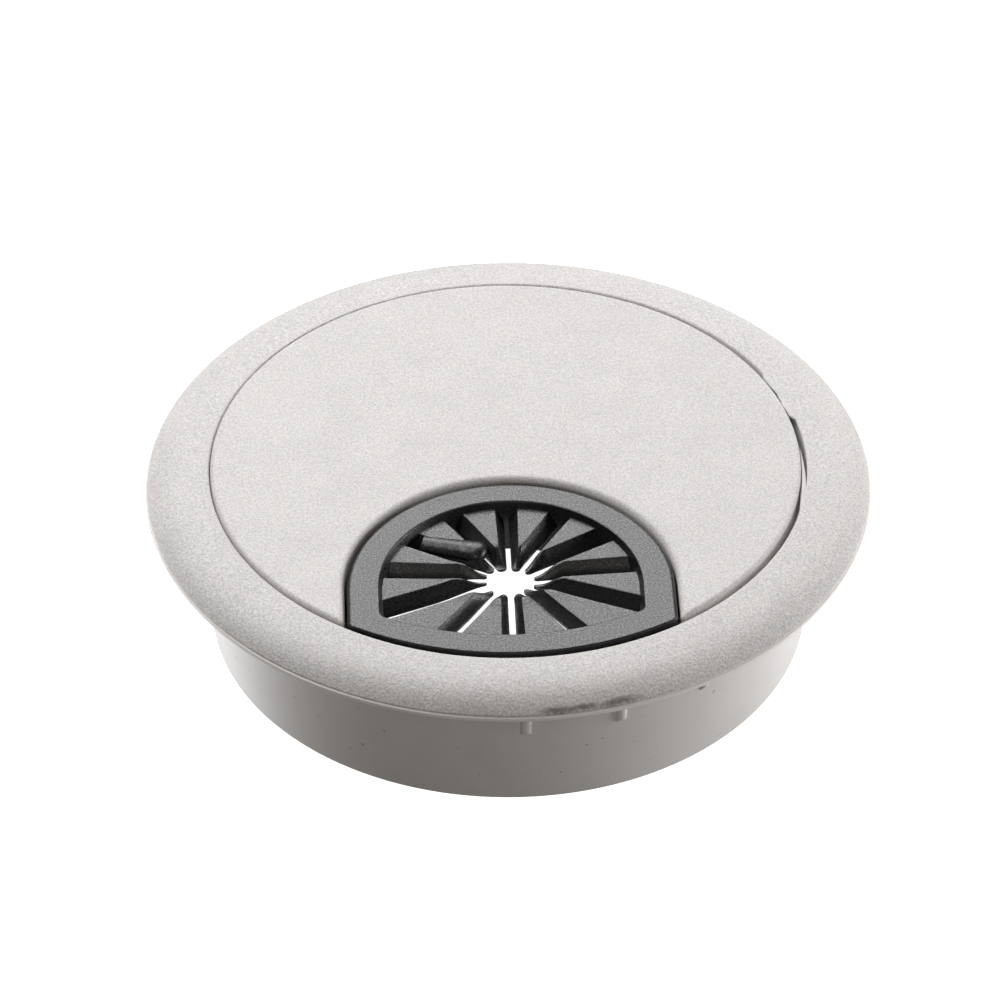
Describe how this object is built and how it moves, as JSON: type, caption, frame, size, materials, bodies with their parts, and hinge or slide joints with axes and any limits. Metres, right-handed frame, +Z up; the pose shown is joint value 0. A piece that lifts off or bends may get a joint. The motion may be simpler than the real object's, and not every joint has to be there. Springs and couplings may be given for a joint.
{
  "type": "desk grommet",
  "caption": "Round desk grommet: pale flanged liner, turning cover with a D-shaped notch, and a black insert of soft fingers that closes the notch around the cables.",
  "frame": {"origin": "centre of the sleeve's lower rim, on the liner's axis", "axes": "+Z up out of the desk, along the liner's axis; the cable notch faces -Y"},
  "size_m": [0.095, 0.095, 0.0237],
  "materials": {
    "shell": "etched grain, pale warm grey",
    "insert": "fine etched grain, black, soft and flexible"
  },
  "bodies": {
    "liner": {"liner": "shell"},
    "cover": {"cover": "shell"},
    "insert": {"insert_frame": "insert"},
    "finger_01": {"finger_01": "insert"},
    "finger_02": {"finger_02": "insert"},
    "finger_03": {"finger_03": "insert"},
    "finger_04": {"finger_04": "insert"},
    "finger_05": {"finger_05": "insert"},
    "finger_06": {"finger_06": "insert"},
    "finger_07": {"finger_07": "insert"},
    "finger_08": {"finger_08": "insert"},
    "finger_09": {"finger_09": "insert"},
    "finger_10": {"finger_10": "insert"},
    "finger_11": {"finger_11": "insert"},
    "finger_12": {"finger_12": "insert"}
  },
  "joints": [
    {"name": "cover_turn", "type": "hinge", "parent": "liner", "child": "cover", "pos_m": [-0.0003, 0.0001, 0.0237], "axis": [0, 0, 1], "continuous": true},
    {"name": "insert_lift", "type": "slide", "parent": "cover", "child": "insert", "axis": [0, 0, 1], "range_m": [0, 0.02]},
    {"name": "finger_01_bend", "type": "hinge", "parent": "insert", "child": "finger_01", "pos_m": [-0.00381, -0.01063, 0.02177], "axis": [0.976, 0.2178, 0], "range_deg": [-60, 60], "stiffness_Nm_per_rad": 0.01},
    {"name": "finger_02_bend", "type": "hinge", "parent": "insert", "child": "finger_02", "pos_m": [-0.00968, -0.01338, 0.02177], "axis": [0.7917, 0.6109, 0], "range_deg": [-60, 60], "stiffness_Nm_per_rad": 0.01},
    {"name": "finger_03_bend", "type": "hinge", "parent": "insert", "child": "finger_03", "pos_m": [-0.0138, -0.01827, 0.02177], "axis": [0.4635, 0.8861, 0], "range_deg": [-60, 60], "stiffness_Nm_per_rad": 0.01},
    {"name": "finger_04_bend", "type": "hinge", "parent": "insert", "child": "finger_04", "pos_m": [-0.01559, -0.0249, 0.02177], "axis": [0.074, 0.9973, 0], "range_deg": [-60, 60], "stiffness_Nm_per_rad": 0.01},
    {"name": "finger_05_bend", "type": "hinge", "parent": "insert", "child": "finger_05", "pos_m": [-0.01253, -0.03011, 0.02177], "axis": [-0.852, 0.5236, 0], "range_deg": [-60, 60], "stiffness_Nm_per_rad": 0.01},
    {"name": "finger_06_bend", "type": "hinge", "parent": "insert", "child": "finger_06", "pos_m": [-0.00472, -0.03294, 0.02177], "axis": [-0.9921, 0.1258, 0], "range_deg": [-60, 60], "stiffness_Nm_per_rad": 0.01},
    {"name": "finger_07_bend", "type": "hinge", "parent": "insert", "child": "finger_07", "pos_m": [0.0036, -0.03294, 0.02177], "axis": [-0.9921, -0.1258, 0], "range_deg": [-60, 60], "stiffness_Nm_per_rad": 0.01},
    {"name": "finger_08_bend", "type": "hinge", "parent": "insert", "child": "finger_08", "pos_m": [0.01141, -0.03011, 0.02177], "axis": [-0.852, -0.5236, 0], "range_deg": [-60, 60], "stiffness_Nm_per_rad": 0.01},
    {"name": "finger_09_bend", "type": "hinge", "parent": "insert", "child": "finger_09", "pos_m": [0.01447, -0.0249, 0.02177], "axis": [0.074, -0.9973, 0], "range_deg": [-60, 60], "stiffness_Nm_per_rad": 0.01},
    {"name": "finger_10_bend", "type": "hinge", "parent": "insert", "child": "finger_10", "pos_m": [0.01268, -0.01827, 0.02177], "axis": [0.4635, -0.8861, 0], "range_deg": [-60, 60], "stiffness_Nm_per_rad": 0.01},
    {"name": "finger_11_bend", "type": "hinge", "parent": "insert", "child": "finger_11", "pos_m": [0.00856, -0.01338, 0.02177], "axis": [0.7917, -0.6109, 0], "range_deg": [-60, 60], "stiffness_Nm_per_rad": 0.01},
    {"name": "finger_12_bend", "type": "hinge", "parent": "insert", "child": "finger_12", "pos_m": [0.00269, -0.01063, 0.02177], "axis": [0.976, -0.2178, 0], "range_deg": [-60, 60], "stiffness_Nm_per_rad": 0.01}
  ]
}
